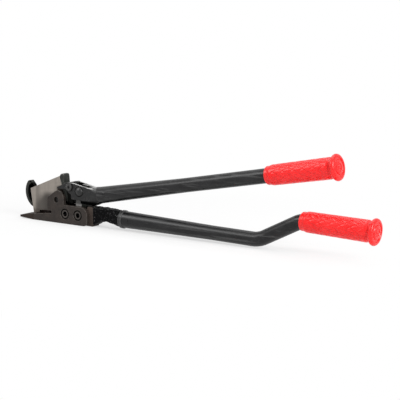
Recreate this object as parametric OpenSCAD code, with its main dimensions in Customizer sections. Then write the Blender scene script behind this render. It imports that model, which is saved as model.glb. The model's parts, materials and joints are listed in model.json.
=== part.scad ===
// Long-handled strapping tool: a foot with a fixed lower lever, and a jaw that an upper lever
// closes on a strap through a short link. +X runs from the jaw to the grips and +Z is up.
// The origin is on the sole, straight below the jaw pivot. Outlines are points in X and Z.

/* [Head] */
// Clear width between the two side plates
head_gap = 17; // [14:0.5:22]
// Thickness of each side plate
plate_t = 7; // [6:0.5:9]
// Height of the jaw pivot above the sole
jaw_pivot_z = 39.5; // [38:0.1:42]
// Diameter of the three pivot pins and of the screw shanks
pin_d = 10; // [8:0.5:11]
// Height of the side plates' ears above the jaw pivot
ear_rise = 16.7; // [15.5:0.1:18]
// Reach of the side plates' ears in front of the jaw pivot
ear_front = 20.5; // [19:0.5:26]
// Reach of the side plates' ears behind the jaw pivot
ear_back = 16.3; // [15:0.1:19]
// Reach of the side plates behind the jaw pivot
plate_back = 67.5; // [64:0.5:72]
// Height of the side plates behind their ears
plate_top = 32; // [30:0.5:34]
// Reach of the side plates' toes in front of the jaw pivot
toe_reach = 52; // [46:0.5:60]

/* [Strap slot] */
// Height of the strap bed above the sole at the back of the slot
bed_z = 15.5; // [14:0.5:17]
// Slope of the strap bed, down toward the nose
bed_slope = 6.5; // [4:0.5:8]
// Height of the slot in the side plates
slot_h = 4.7; // [4.2:0.1:6]
// Distance from the jaw pivot to the back of the slot
slot_back = 11; // [8:0.5:14]
// Thickness of the toothed anvil bar
anvil_t = 5; // [4:0.5:6]
// Pitch of the teeth on the anvil and the gripper
tooth_pitch = 1.9; // [1.4:0.1:3]
// Depth of the teeth
tooth_deep = 0.7; // [0.4:0.1:1]

/* [Foot] */
// Length of the chisel nose in front of the toes
nose_len = 31; // [24:1:40]
// Thickness of the nose at its tip
nose_tip_t = 3.4; // [1:0.2:4]
// Height of the nose's underside above the sole at its tip
nose_lift = 2.2; // [0:0.2:3]
// Thickness of the nose where it meets the toes
nose_root_t = 10.5; // [9:0.1:11]
// Thickness of the sole under the link
sole_t = 4; // [3:0.5:5]
// Distance from the jaw pivot to the back of the foot
foot_back = 74.5; // [70:0.5:84]
// Height of the foot at its back
foot_top = 33; // [30:0.5:34]

/* [Screws] */
// Distance from the jaw pivot back to the front side screw
front_screw_x = 19; // [17:0.5:22]
// Height of both side screws above the sole
side_screw_z = 17; // [16:0.5:18]
// Head diameter of the side screws
cap_d = 15; // [14:0.5:16]
// Head height of the side screws
cap_h = 4.2; // [4:0.1:5]
// Depth of the head's seat in the near side plate
seat_deep = 4.8; // [4.5:0.1:5.5]
// Width across the flats of the lock nuts
nut_af = 16; // [15:0.5:18]
// Thickness of the lock nuts
nut_t = 5; // [4:0.5:6]

/* [Jaw] */
// Thickness of the ground jaw plate
jaw_plate_t = 5; // [4:0.5:6]
// Gap over the strap bed when the jaw is shut
bite_gap = 0.4; // [0.3:0.1:0.8]
// Length of the jaw's bite along the strap bed
bite_len = 47; // [44:0.5:49]
// Distance along the strap bed to the back of the jaw plate's front lip
lip_start = 33.5; // [30:0.5:38]
// Reach of the jaw's brow in front of the jaw pivot
brow_reach = 64.5; // [60:0.5:70]
// Height of the jaw's brow above the jaw pivot at its front
brow_front_up = 13.7; // [11:0.1:16]
// Height of the jaw's brow above the jaw pivot at its back
brow_back_up = 40.4; // [38:0.1:42]
// Height of the jaw's rear lug above its brow
lug_rise = 4.1; // [3:0.1:6]
// Height of the toothed gripper bar
gripper_h = 8; // [6:0.5:9]
// Wall of the bush in the jaw
bush_wall = 2; // [1.5:0.25:2.5]
// Width of the front guard
guard_w = 13.6; // [11:0.2:13.8]
// Reach of the front guard in front of the jaw pivot
guard_reach = 79; // [75:0.5:82]
// Height of the front guard's horn above the jaw pivot
guard_up = 26.2; // [23:0.2:30]
// Depth of the front guard's tip below the jaw pivot
guard_down = 18.3; // [15:0.1:20]

/* [Linkage] */
// Distance from the jaw pivot back to the tail pin
tail_back = 27; // [25:0.5:29]
// Height of the tail pin above the jaw pivot
tail_up = 23.9; // [22:0.1:26]
// Distance from the jaw pivot back to the link's lower pivot
link_foot_x = 47; // [45:0.5:50]
// Offset of the link's upper pivot behind its lower one
link_lean = 1; // [0:0.5:2]
// Length of the link between its pivots, measured upright
link_rise = 40.2; // [39:0.1:42]
// Thickness of the link
link_t = 12.4; // [10:0.2:13]
// Width of the link
link_w = 24; // [18:0.5:25]

/* [Upper lever] */
// Tilt of the upper lever at rest
upper_tilt = 10.5; // [9:0.1:12]
// Distance from the jaw pivot back to the upper tube's end
upper_collar_x = 87; // [84:0.5:92]
// Height of the upper tube's end above the sole
upper_collar_z = 53.8; // [52:0.1:56]
// Length from the upper tube's end to the end of its grip
upper_len = 447; // [380:1:500]
// Thickness of the fork's cheeks at their toes
cheek_t = 3.5; // [3:0.5:5]
// Gap between the fork's toes and the side plates' ears at rest
toe_gap = 2.6; // [2.2:0.1:4]
// Depth of the recess in the ears that the fork's toes drop into when the lever is raised
toe_sink = 6.6; // [6.6:0.2:8]

/* [Lower lever] */
// Distance from the jaw pivot back to the lower tube's end
lower_collar_x = 138; // [130:1:142]
// Downward slope of the lower tube
lower_slope = 1; // [0.5:0.1:1.5]
// Length of the lower tube's sloping run
lower_run = 244; // [200:1:280]
// Angle of the rise between the lower tube's two bends
rise_angle = 27; // [22:1:32]
// Radius of the lower bend to the tube's centre line
bend_r = 45; // [35:1:50]
// Radius of the upper bend to the tube's centre line
high_bend_r = 30; // [26:1:40]
// Height of the lower tube's lowest point above the sole
tube_lift = 2; // [0:0.1:4]
// Height of the tube's centre above the sole, at the end of the upper bend
lower_grip_z = 49.8; // [46:0.1:54]
// Droop of the lower grip toward its end
grip_droop = 1.7; // [0:0.1:3]
// Length of the upper bend that the lower grip covers
grip_over_bend = 6; // [0:0.5:8]

/* [Tubes and grips] */
// Outer diameter of the tubes
tube_d = 23; // [22:0.5:25]
// Wall thickness of the tubes
tube_wall = 2; // [1.5:0.25:2.5]
// Outer diameter of the tubes' flared ends
flare_d = 28; // [26:0.5:30]
// Length of the flare
flare_len = 170; // [120:1:190]
// Length of a grip
grip_len = 122; // [110:1:140]
// Outer diameter of a grip's body behind its flange
grip_d = 33; // [30:0.5:36]
// Outer diameter of a grip's end flange
flange_d = 40; // [37:0.5:42]
// Thickness of a grip's end wall
grip_end = 4; // [3:0.5:6]
// Diameter of the cross pins that hold the tubes
cross_pin_d = 6; // [5:0.5:7]

/* [Clearances] */
// Radial clearance of pins that turn
run_fit = 0.05; // [0.02:0.01:0.08]
// Radial clearance of pieces that are pressed in or slid on
seat_fit = 0.03; // [0.02:0.01:0.08]
// Side clearance between pieces that move past each other
side_gap = 0.3; // [0.2:0.05:0.5]
// Radial clearance of the tail pin in the jaw
tail_fit = 0.3; // [0.2:0.05:0.4]

/* [Hidden] */
$fn = 64;
seat_ring = 1.5;
corner_steps = 6;
bend_steps = 7;
tube_sides = 32;
cut = 1;

// Widths across the head
gap_half = head_gap / 2;
head_half = gap_half + plate_t;
jaw_half = gap_half - side_gap;
jaw_split = jaw_plate_t - jaw_half;
link_half = link_t / 2;
slot_half = link_half + side_gap;
fork_half = gap_half + cheek_t;

// Pivots
jaw_pivot = [0, jaw_pivot_z];
front_screw = [front_screw_x, side_screw_z];
link_foot = [link_foot_x, side_screw_z];
link_head = link_foot + [link_lean, link_rise];
tail_pin_at = jaw_pivot + [tail_back, tail_up];
pin_r = pin_d / 2;
bush_d = pin_d + 2 * bush_wall;
link_bush_wall = 1.5;
link_bush_d = pin_d + 2 * link_bush_wall;

// Side plates and strap bed, each outline point being X, Z and a corner radius
ear_top = jaw_pivot_z + ear_rise;
ear_crown = 1;
ear_slant = 13.7;
ear_round = 5;
ear_back_round = 12.3;
heel_round = 9;
shoulder_round = 14;
edge_round = 1;
inner_round = 3;
slot_round = slot_h / 2 - 0.1;
plate_outline = [
  [-toe_reach, 0, 0], [plate_back, 0, heel_round], [plate_back, plate_top, shoulder_round],
  [ear_back, plate_top, inner_round], [ear_back, ear_top, ear_back_round], [ear_crown, ear_top, ear_round],
  [-ear_front, ear_top - ear_slant, ear_round], [-ear_front, bed_at(ear_front) + slot_h, edge_round],
  [-slot_back, bed_z + slot_h, slot_round], [-slot_back, bed_z, slot_round],
  [-toe_reach, bed_at(toe_reach), edge_round]
];

// Foot
pocket_side = 3.5;
pocket_front = link_foot_x - link_w / 2 - pocket_side;
pocket_back = link_foot_x + link_w / 2 + pocket_side;
step_top = side_screw_z + pin_r;
step_run = 13.5;
bed_drop = 0.5;
foot_outline = [
  [-toe_reach, 0, 0], [foot_back, 0, 0], [foot_back, foot_top, inner_round],
  [pocket_back, foot_top, inner_round], [pocket_back, sole_t, inner_round],
  [pocket_front, sole_t, inner_round], [pocket_front, step_top, edge_round],
  [step_run - slot_back, step_top, inner_round], [-slot_back, bed_z - bed_drop, inner_round],
  [-toe_reach, bed_at(toe_reach) - bed_drop, 0]
];
nose_outline = [
  [-toe_reach - nose_len, nose_lift, 0], [-toe_reach, 0, 0], [-toe_reach, nose_root_t, 0],
  [-toe_reach - nose_len, nose_at(nose_len), 0]
];
anvil_end_gap = 0.2;
anvil_front = (toe_reach - slot_back) / cos(bed_slope) - anvil_end_gap;
anvil_back = 2;
anvil_screw_d = 5;
anvil_screw_inset = 8.5;
anvil_screw_out = [anvil_back + anvil_screw_inset, anvil_front - anvil_screw_inset];
anvil_screw_in = 2;

// Jaw, shut at rest with its bite along the strap bed
bite_front = bed_point(bite_len, bite_gap);
bite_back = bed_point(1, bite_gap);
lip_back = bed_point(lip_start, bite_gap);
relief_front = bed_point(lip_start, slot_h);
relief_back = bed_point(1, slot_h);
brow_front = jaw_pivot + [-brow_reach, brow_front_up];
brow_back = jaw_pivot + [2, brow_back_up];
seat_low = jaw_pivot + [15, -0.3];
jaw_heel = jaw_pivot + [9, -10.3];
heel_r = 4;
tail_r = pin_r + 3.3;
plate_setback = 0.2;
lip_knee = [-toe_reach, bed_at(toe_reach) + bite_gap];
lip_front = [bite_front.x + plate_setback, nose_at(-bite_front.x - toe_reach) + bite_gap];
plate_edge = [
  [brow_front.x + plate_setback, brow_front.y, edge_round], [brow_back.x, brow_back.y, 0],
  [seat_low.x, seat_low.y, 0], [jaw_heel.x, jaw_heel.y, heel_r], [relief_back.x, relief_back.y, edge_round],
  [relief_front.x, relief_front.y, slot_round], [lip_back.x, lip_back.y, edge_round],
  [lip_knee.x, lip_knee.y, 0], [lip_front.x, lip_front.y, edge_round]
];
body_edge = [
  [brow_front.x, brow_front.y, 0], [brow_back.x, brow_back.y, 0], [seat_low.x, seat_low.y, 0],
  [jaw_heel.x, jaw_heel.y, heel_r], [bite_back.x, bite_back.y, 0], [bite_front.x, bite_front.y, 0]
];
lug_t = 9.5;
lug_round = 2.5;
lug_brow_round = 4.2;
lug_top = brow_back.y + lug_rise;
lug_back = brow_back.x + lug_t;
lug_root = tail_pin_at.y + 2;
tail_skirt = jaw_pivot + [32, -7];
rear_edge = [
  [brow_back.x, brow_back.y, 0], [brow_back.x + 1, lug_top, lug_brow_round], [lug_back, lug_top, lug_round],
  [lug_back, lug_root, inner_round], [tail_pin_at.x, tail_pin_at.y + tail_r, 0],
  [tail_pin_at.x, tail_pin_at.y - tail_r, 0], [tail_skirt.x, tail_skirt.y, inner_round],
  [seat_low.x, seat_low.y, 0]
];
gripper_inset = 1.5;
gripper_front = bite_len - gripper_inset;
gripper_back = 4;
gripper_pin_d = 4;
gripper_pin_in = 2;
gripper_pin_inset = 7.5;
gripper_pin_out = [gripper_back + gripper_pin_inset, gripper_front - gripper_pin_inset];
jaw_screw_d = 5;
jaw_screw_short = 1.5;
jaw_screw_at = [jaw_pivot + [-42, 10.7], jaw_pivot + [-20, 23.7], jaw_pivot + [-24, -1.3]];

// Front guard, round in front and flat where it lies on the jaw's sloping front edge
front_lean = atan2(brow_front.x - bite_front.x, brow_front.y - bite_front.y);
guard_low = jaw_pivot + [0.5 - brow_reach, -guard_down];
guard_out = jaw_pivot + [-guard_reach, 5.7];
horn_reach = brow_reach + 8;
guard_top = jaw_pivot + [-horn_reach, guard_up];
horn_flat = 1.5;
horn_back = brow_front + [1, 4];
guard_recess_w = 4;
guard_recess_deep = 4;
guard_foot = [bite_front.x + (guard_low.y - bite_front.y) * tan(front_lean), guard_low.y];
guard_far = jaw_half;
guard_near = guard_far - guard_w;
guard_screw_d = 5;
guard_screw_up = [10, 25];
guard_screw_in = 12;
guard_seat = 5;
guard_head_h = 4;

// Fork
toe_floor = ear_top + toe_gap;
toe_len = 33;
toe_tip_r = 1.4;
throat_start = [tail_pin_at.x - 6, toe_floor];
throat_front = tail_pin_at + [-3, -9.5];
throat_back = tail_pin_at + [3.5, -12];
cheek_crown = tail_pin_at.x + 7;
cheek_brow = tail_pin_at + [-5, 7.5];
crown_rise = 6.4;
cheek_round = 4;
fork_floor = link_head.y - 14.8;
fork_top = link_head.y + 7.2;
cheek_front = link_head.x - 17.5;
cheek_back = link_head.x + 20;
pad_front = link_head.x - 9.5;
slot_end = link_head.x + link_w / 2 + 5;
toe_recess_front = tail_pin_at.x - toe_len - 2.5;
toe_recess_half = fork_half + 0.5;
cheek_outline = [
  [tail_pin_at.x - toe_len, toe_floor, toe_tip_r], [throat_start.x, throat_start.y, inner_round],
  [throat_front.x, throat_front.y, inner_round], [throat_back.x, throat_back.y, cheek_round],
  [cheek_front, fork_floor, cheek_round], [cheek_back, fork_floor, 0], [cheek_back, fork_top, 0],
  [cheek_crown, fork_top + crown_rise, cheek_round], [cheek_brow.x, cheek_brow.y, inner_round]
];
pad_outline = [
  [pad_front, fork_floor, cheek_round], [cheek_back, fork_floor, 0], [cheek_back, fork_top, 0],
  [pad_front, fork_top + crown_rise / 2, cheek_round]
];
web_outline = [
  [slot_end, fork_floor], [cheek_back, fork_floor], [cheek_back, fork_top], [slot_end, fork_top]
];
heel_front = link_head.x;
heel_low = foot_top + 1.7;
heel_root = upper_collar_x + 1.3;
heel_outline = [
  [heel_front, fork_floor + cheek_round, 0], [heel_front, heel_low + 1.8, inner_round],
  [heel_front + 16, heel_low + 1.6, cheek_round], [heel_front + 27, heel_low, cheek_round],
  [heel_root - 3.3, heel_low + 4.4, inner_round], [heel_root, fork_floor - 0.3, 0],
  [heel_root, fork_floor + cheek_round, 0]
];
web_front = [slot_end, heel_low - cut];
pin_head_d = 12.5;
pin_head_t = 2.8;
dome_d = 16;
dome_h = 4.5;
clip_t = 1.2;
clip_d = pin_d + 6;
clip_bore = pin_d - 2;
pin_tail = 2;

// Tubes, sockets and grips
tube_r = tube_d / 2;
tube_bore = tube_r - tube_wall;
flare_r = flare_d / 2;
flare_bore = flare_r - tube_wall;
spigot_len = 40;
spigot_tip = flare_bore - (flare_bore - tube_bore) * spigot_len / flare_len;
cross_pin_at = 16;
upper_collar = [upper_collar_x, upper_collar_z];
lower_collar_z = tube_lift + tube_r + bend_r * (1 - cos(lower_slope)) + lower_run * sin(lower_slope);
lower_collar_at = [lower_collar_x, lower_collar_z];
low_bend = lower_collar_at + lower_run * [cos(lower_slope), -sin(lower_slope)];
rise_start = low_bend + bend_r * [sin(lower_slope) + sin(rise_angle), cos(lower_slope) - cos(rise_angle)];
bend_lift = high_bend_r * (cos(grip_droop) - cos(rise_angle));
rise_len = (lower_grip_z - bend_lift - rise_start.y) / sin(rise_angle);
high_bend = rise_start + rise_len * [cos(rise_angle), sin(rise_angle)];
droop_start = high_bend + [high_bend_r * (sin(rise_angle) + sin(grip_droop)), bend_lift];
lower_grip_at = droop_start - grip_over_bend * [cos(grip_droop), -sin(grip_droop)];
collar_ring_t = 7;
collar_ring_d = flare_d + 2.5;
flange_t = 9;
flange_round = 3;
face_rise = 0.8;
neck_d = grip_d - 3.6;
neck_t = 4;
lip_len = 6;
lip_d = grip_d - 5;
lip_round = 2.5;
grip_front_d = grip_d - 1.4;
tube_in_grip = grip_len - grip_end;

// Height of the strap bed at a distance in front of the jaw pivot
function bed_at(x) = bed_z - (x - slot_back) * tan(bed_slope);

// Height of the nose's upper face at a distance in front of the toes
function nose_at(x) = nose_root_t + (nose_lift + nose_tip_t - nose_root_t) * x / nose_len;

// A point at a distance along the strap bed from the back of the slot, and at a height over it
function bed_point(out, up) = [
  -slot_back - out * cos(bed_slope) - up * sin(bed_slope), bed_z - out * sin(bed_slope) + up * cos(bed_slope)
];

// Centre of the circle through three points
function circle_centre(a, b, c) =
  let (d = 2 * (a.x * (b.y - c.y) + b.x * (c.y - a.y) + c.x * (a.y - b.y)))
  [
    ((a * a) * (b.y - c.y) + (b * b) * (c.y - a.y) + (c * c) * (a.y - b.y)) / d,
    ((a * a) * (c.x - b.x) + (b * b) * (a.x - c.x) + (c * c) * (b.x - a.x)) / d
  ];

function unit(v) = v / norm(v);
function short_turn(a) = a > 180 ? a - 360 : a < -180 ? a + 360 : a;

// The points of one outline corner, rounded to its radius
function corner(before, at, after, r) =
  r == 0 ? [at] :
  let (
    u = unit(before - at),
    v = unit(after - at),
    half = acos(u * v) / 2,
    centre = at + unit(u + v) * r / sin(half),
    start = at + u * r / tan(half) - centre,
    stop = at + v * r / tan(half) - centre,
    from = atan2(start.y, start.x),
    sweep = short_turn(atan2(stop.y, stop.x) - from)
  )
  [for (i = [0:corner_steps]) let (a = from + sweep * i / corner_steps) centre + r * [cos(a), sin(a)]];
function xz(p) = [p.x, p.y];
function rounded(pts) = let (n = len(pts))
  [for (i = [0:n - 1]) each corner(xz(pts[(i + n - 1) % n]), xz(pts[i]), xz(pts[(i + 1) % n]), pts[i][2])];

// An outline in X and Z given a thickness from y0 to y1
module slab(y0, y1) {
  translate([0, y1, 0]) rotate([90, 0, 0]) linear_extrude(y1 - y0) children();
}

// A round bar across the tool
module rod(at, d, y0, y1) {
  translate([at.x, y0, at.y]) rotate([-90, 0, 0]) cylinder(d = d, h = y1 - y0);
}

// A hexagonal bar across the tool
module hex_rod(at, af, y0, y1) {
  translate([at.x, y0, at.y]) rotate([-90, 0, 0]) cylinder(d = af / cos(30), h = y1 - y0, $fn = 6);
}

// A ring across the tool
module ring(at, d, hole, y0, y1) {
  difference() {
    rod(at, d, y0, y1);
    rod(at, hole, y0 - cut, y1 + cut);
  }
}

// A frame whose X axis runs along a tube from its start
module along(at, tilt) {
  translate([at.x, 0, at.y]) rotate([0, -tilt, 0]) children();
}

// A round bar along X
module bar_x(from, to, d1, d2) {
  translate([from, 0, 0]) rotate([0, 90, 0]) cylinder(d1 = d1, d2 = d2, h = to - from);
}

// A frame on the strap bed, with -X running from the back of the slot toward the nose
module on_bed() {
  translate([-slot_back, 0, bed_z]) rotate([0, -bed_slope, 0]) children();
}

// Pieces drawn upright on the jaw's sloping front edge
module on_jaw_front() {
  translate([guard_foot.x, 0, guard_foot.y]) rotate([0, front_lean, 0]) children();
}

// A bar along X with teeth across it on its upper face
module toothed_bar(x0, x1, y0, y1, h) {
  teeth = floor((y1 - y0) / tooth_pitch);
  step = (y1 - y0) / teeth;
  ridge = [for (i = [0:teeth - 1]) each [[y0 + i * step, h - tooth_deep], [y0 + (i + 0.8) * step, h]]];
  translate([x0, 0, 0]) rotate([90, 0, 90]) linear_extrude(x1 - x0)
    polygon(concat([[y1, 0], [y0, 0]], ridge, [[y1, h - tooth_deep]]));
}

// A countersunk screw along +Z with its head's face at the origin
module flush_screw(d, length) {
  head_d = 2 * d;
  union() {
    cylinder(d = d, h = length);
    cylinder(d1 = head_d, d2 = d, h = d / 2);
  }
}

// The hole of a countersunk screw
module flush_hole(d, length) {
  union() {
    translate([0, 0, -cut]) cylinder(d = d + 2 * seat_fit, h = length + cut + seat_fit);
    cylinder(d1 = 2 * d + 2 * seat_fit, d2 = d + 2 * seat_fit, h = d / 2);
    translate([0, 0, -cut]) cylinder(d = 2 * d + 2 * seat_fit, h = cut);
  }
}

// The hexagon socket of a flush screw
module flush_socket(d) {
  translate([0, 0, -cut]) cylinder(d = d * 0.8, h = cut + d * 0.4, $fn = 6);
}

// One side plate, drawn from y0 to y1, with a recess in its ear for the fork's toe
module side_plate(y0, y1) {
  difference() {
    slab(y0, y1) polygon(rounded(plate_outline));
    for (at = [jaw_pivot, front_screw, link_foot])
      rod(at, pin_d + 2 * seat_fit, y0 - cut, y1 + cut);
    translate([toe_recess_front, -toe_recess_half, ear_top - toe_sink])
      cube([ear_back - toe_recess_front + cut, 2 * toe_recess_half, toe_sink + cut]);
  }
}

module foot() {
  color("dimgray") difference() {
    union() {
      slab(-head_half, head_half) polygon(rounded(nose_outline));
      slab(-gap_half, gap_half) polygon(rounded(foot_outline));
    }
    rod(front_screw, pin_d + 2 * seat_fit, -head_half, head_half);
    on_bed() translate([-anvil_front, -gap_half - cut, -anvil_t])
      cube([anvil_front - anvil_back, head_gap + 2 * cut, 2 * anvil_t]);
    anvil_screw_places() flush_hole(anvil_screw_d, bed_z);
  }
}

// Each anvil screw's axis, running up from the sole
module anvil_screw_places() {
  for (out = anvil_screw_out) translate([bed_point(out, 0).x, 0, 0]) children();
}

module near_side_plate() {
  color("dimgray") difference() {
    side_plate(-head_half, -gap_half);
    for (at = [front_screw, link_foot])
      rod(at, cap_d + 2 * seat_ring, -head_half - cut, -head_half + seat_deep);
  }
}

module far_side_plate() {
  color("dimgray") side_plate(gap_half, head_half);
}

module anvil_bar() {
  color("silver") difference() {
    on_bed() translate([0, 0, -anvil_t])
      toothed_bar(-anvil_front, -anvil_back, -gap_half, gap_half, anvil_t);
    for (out = anvil_screw_out)
      translate([bed_point(out, 0).x, 0, 0]) flush_hole(anvil_screw_d, bed_point(out, 0).y - anvil_screw_in);
  }
}

module anvil_screws() {
  color("black") for (out = anvil_screw_out)
    translate([bed_point(out, 0).x, 0, 0]) difference() {
      flush_screw(anvil_screw_d, bed_point(out, 0).y - anvil_screw_in);
      flush_socket(anvil_screw_d);
    }
}

module side_screws() {
  color("darkslategray") for (at = [front_screw, link_foot])
    difference() {
      union() {
        rod(at, cap_d, -head_half + seat_deep - cap_h, -head_half + seat_deep);
        rod(at, pin_d, -head_half + seat_deep, head_half + nut_t + 1);
      }
      hex_rod(at, pin_d * 0.8, -head_half - cap_h, -head_half + seat_deep - 1.2);
    }
}

module side_nuts() {
  color("darkslategray") for (at = [front_screw, link_foot])
    difference() {
      hex_rod(at, nut_af, head_half, head_half + nut_t);
      rod(at, pin_d + 2 * seat_fit, head_half - cut, head_half + nut_t + cut);
    }
}

module jaw_pivot_pin() {
  pin_recess = 4;
  color("silver") rod(jaw_pivot, pin_d, pin_recess - head_half, head_half - pin_recess);
}

// Spacers that keep the link in the middle of the foot
module link_washers() {
  color("silver") for (side = [-1, 1])
    ring(link_foot, pin_d + 7, pin_d + 2 * seat_fit, min(side * gap_half, side * (link_half + side_gap)),
      max(side * gap_half, side * (link_half + side_gap)));
}

// The root casting of the lower lever, waisted between the foot's back and the tube
module lower_socket() {
  root_low = 2.5;
  root_t = 3;
  waist_x = (foot_back + lower_collar_x) / 2 + 1;
  waist_low = 11.2;
  waist_len = 15;
  waist_top = foot_top - 0.5;
  neck_d = 2 * flare_bore - 1;
  color("black") difference() {
    union() {
      hull() {
        translate([foot_back, -gap_half, root_low]) cube([root_t, head_gap, foot_top - root_low + 0.5]);
        translate([waist_x - waist_len, -gap_half, waist_low]) cube([1, head_gap, waist_top - waist_low]);
      }
      translate([waist_x - waist_len, -gap_half, waist_low])
        cube([waist_len + 1, head_gap, waist_top - waist_low]);
      hull() {
        translate([waist_x, -gap_half, waist_low]) cube([1, head_gap, waist_top - waist_low]);
        along(lower_collar_at, -lower_slope)
          bar_x(-collar_ring_t - 1, -collar_ring_t, flare_d, flare_d, $fn = 32);
      }
      along(lower_collar_at, -lower_slope) union() {
        bar_x(-collar_ring_t - cut, 0, neck_d, neck_d);
        bar_x(0, spigot_len, 2 * (flare_bore - seat_fit), 2 * (spigot_tip - seat_fit));
      }
    }
    along(lower_collar_at, -lower_slope)
      rod([cross_pin_at, 0], cross_pin_d + 2 * seat_fit, -flare_r, flare_r);
  }
}

// The ring between the lower casting and its tube
module lower_collar() {
  color("black") along(lower_collar_at, -lower_slope) difference() {
    bar_x(-collar_ring_t, 0, collar_ring_d, collar_ring_d);
    bar_x(-collar_ring_t - cut, cut, 2 * flare_bore - 1 + 2 * seat_fit, 2 * flare_bore - 1 + 2 * seat_fit);
  }
}

// Stations along the lower tube, each with its centre, slope and outer radius
function heading(a) = [cos(a), sin(a)];
function high_stations() = [
  for (i = [0:bend_steps]) let (a = rise_angle - (rise_angle + grip_droop) * i / bend_steps)
    [high_bend + high_bend_r * [sin(rise_angle) - sin(a), cos(a) - cos(rise_angle)], a, tube_r]
];
function lower_stations() = concat(
  [
    [lower_collar_at, -lower_slope, flare_r],
    [lower_collar_at + flare_len * heading(-lower_slope), -lower_slope, tube_r]
  ],
  [for (i = [0:bend_steps]) let (a = (lower_slope + rise_angle) * i / bend_steps - lower_slope)
    [low_bend + bend_r * [sin(a) + sin(lower_slope), cos(lower_slope) - cos(a)], a, tube_r]],
  high_stations(),
  [[lower_grip_at + tube_in_grip * heading(-grip_droop), -grip_droop, tube_r]]
);

// A ring of points round a station
function tube_ring(at, slope, r) = [for (k = [0:tube_sides - 1]) let (t = 360 * (k + 0.5) / tube_sides)
  [at.x - r * cos(t) * sin(slope), r * sin(t), at.y + r * cos(t) * cos(slope)]];

// A hollow tube swept along stations, whose bore clears the true circle of the wall's inside
module swept_tube(stations, wall) {
  count = len(stations);
  bore_scale = 1 / cos(180 / tube_sides);
  outer = [for (s = stations) each tube_ring(s[0], s[1], s[2])];
  inner = [for (s = stations) each tube_ring(s[0], s[1], (s[2] - wall) * bore_scale)];
  shift = len(outer);
  last = (count - 1) * tube_sides;
  skin = [for (i = [0:count - 2]) for (k = [0:tube_sides - 1])
    let (m = (k + 1) % tube_sides, p = i * tube_sides, q = p + tube_sides) [p + k, p + m, q + m, q + k]];
  lining = [for (f = skin) [f[3] + shift, f[2] + shift, f[1] + shift, f[0] + shift]];
  ends = [for (k = [0:tube_sides - 1]) let (m = (k + 1) % tube_sides) each [
    [k, shift + k, shift + m, m],
    [last + k, last + m, shift + last + m, shift + last + k]
  ]];
  polyhedron(concat(outer, inner), concat(skin, lining, ends), convexity = 6);
}

module lower_tube() {
  color("black") difference() {
    swept_tube(lower_stations(), tube_wall);
    along(lower_collar_at, -lower_slope)
      rod([cross_pin_at, 0], cross_pin_d + 2 * seat_fit, -flare_d, flare_d);
  }
}

// A cross pin, flush with the flare that it crosses
module cross_pin() {
  flush = flare_r - (flare_r - tube_r) * cross_pin_at / flare_len - 0.6;
  rod([cross_pin_at, 0], cross_pin_d, -flush, flush);
}

module lower_cross_pin() {
  color("black") along(lower_collar_at, -lower_slope) cross_pin();
}

// A moulded grip along +X with a rounded lip, a body and an end flange
module grip() {
  difference() {
    rotate([0, 90, 0]) rotate_extrude() polygon(rounded(grip_profile()));
    bar_x(-cut, tube_in_grip, tube_d + 2 * seat_fit, tube_d + 2 * seat_fit);
  }
}

function grip_profile() = [
  [0, 0, 0], [lip_d / 2, 0, lip_round], [grip_front_d / 2, lip_len, lip_round],
  [grip_d / 2, grip_len - flange_t - neck_t, edge_round], [neck_d / 2, grip_len - flange_t - neck_t / 2, 0],
  [neck_d / 2, grip_len - flange_t, 0], [flange_d / 2, grip_len - flange_t, flange_round],
  [flange_d / 2, grip_len - face_rise, flange_round], [flange_d / 4, grip_len, edge_round], [0, grip_len, 0]
];

// The lower grip, with a tapered mouth for the end of the tube's upper bend
module lower_grip() {
  turn = asin(grip_over_bend / high_bend_r);
  mouth_d = 2 * (tube_r / cos(turn) + high_bend_r * (1 - cos(turn)) + side_gap);
  color("crimson") along(lower_grip_at, -grip_droop) difference() {
    grip();
    bar_x(-cut, grip_over_bend + cut, mouth_d, tube_d + 2 * seat_fit);
  }
}

// The jaw's forged body, stepped on its near side to seat the jaw plate
module jaw_body() {
  color("darkslategray") difference() {
    union() {
      slab(jaw_split, jaw_half) polygon(rounded(body_edge));
      slab(-jaw_half, jaw_half) union() {
        polygon(rounded(rear_edge));
        translate(tail_pin_at) circle(tail_r);
      }
    }
    rod(jaw_pivot, bush_d + 2 * seat_fit, -head_half, head_half);
    rod(tail_pin_at, pin_d + 2 * tail_fit, -head_half, head_half);
    on_bed() translate([-gripper_front, jaw_split - cut, bite_gap - cut])
      cube([gripper_front - gripper_back, jaw_half - jaw_split + 2 * cut, gripper_h + cut]);
    for (at = jaw_screw_at) jaw_screw_place(at) flush_hole(jaw_screw_d, 2 * jaw_half);
    for (up = guard_screw_up) guard_screw_place(up) guard_screw_bore();
  }
}

module jaw_plate() {
  color("lightgray") difference() {
    slab(-jaw_half, jaw_split) polygon(rounded(plate_edge));
    rod(jaw_pivot, bush_d + 2 * seat_fit, -head_half, head_half);
    for (at = jaw_screw_at) jaw_screw_place(at) flush_hole(jaw_screw_d, 2 * jaw_half - jaw_screw_short);
    gripper_pin_rods(gripper_pin_d + 2 * seat_fit, jaw_split - gripper_pin_in, jaw_half);
  }
}

// A jaw screw's axis, running toward the near side
module jaw_screw_place(at) {
  translate([at.x, jaw_half, at.y]) rotate([90, 0, 0]) children();
}

module jaw_plate_screws() {
  color("black") for (at = jaw_screw_at)
    jaw_screw_place(at) difference() {
      flush_screw(jaw_screw_d, 2 * jaw_half - jaw_screw_short);
      flush_socket(jaw_screw_d);
    }
}

module gripper_bar() {
  color("silver") difference() {
    on_bed() translate([0, 0, bite_gap + gripper_h]) mirror([0, 0, 1])
      toothed_bar(-gripper_front, -gripper_back, jaw_split, jaw_half, gripper_h);
    gripper_pin_rods(gripper_pin_d + 2 * seat_fit, -head_half, head_half);
  }
}

// Bars through the gripper at its pins
module gripper_pin_rods(d, y0, y1) {
  on_bed() for (out = gripper_pin_out)
    rod([-out, bite_gap + gripper_h / 2 + 1], d, y0, y1);
}

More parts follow.
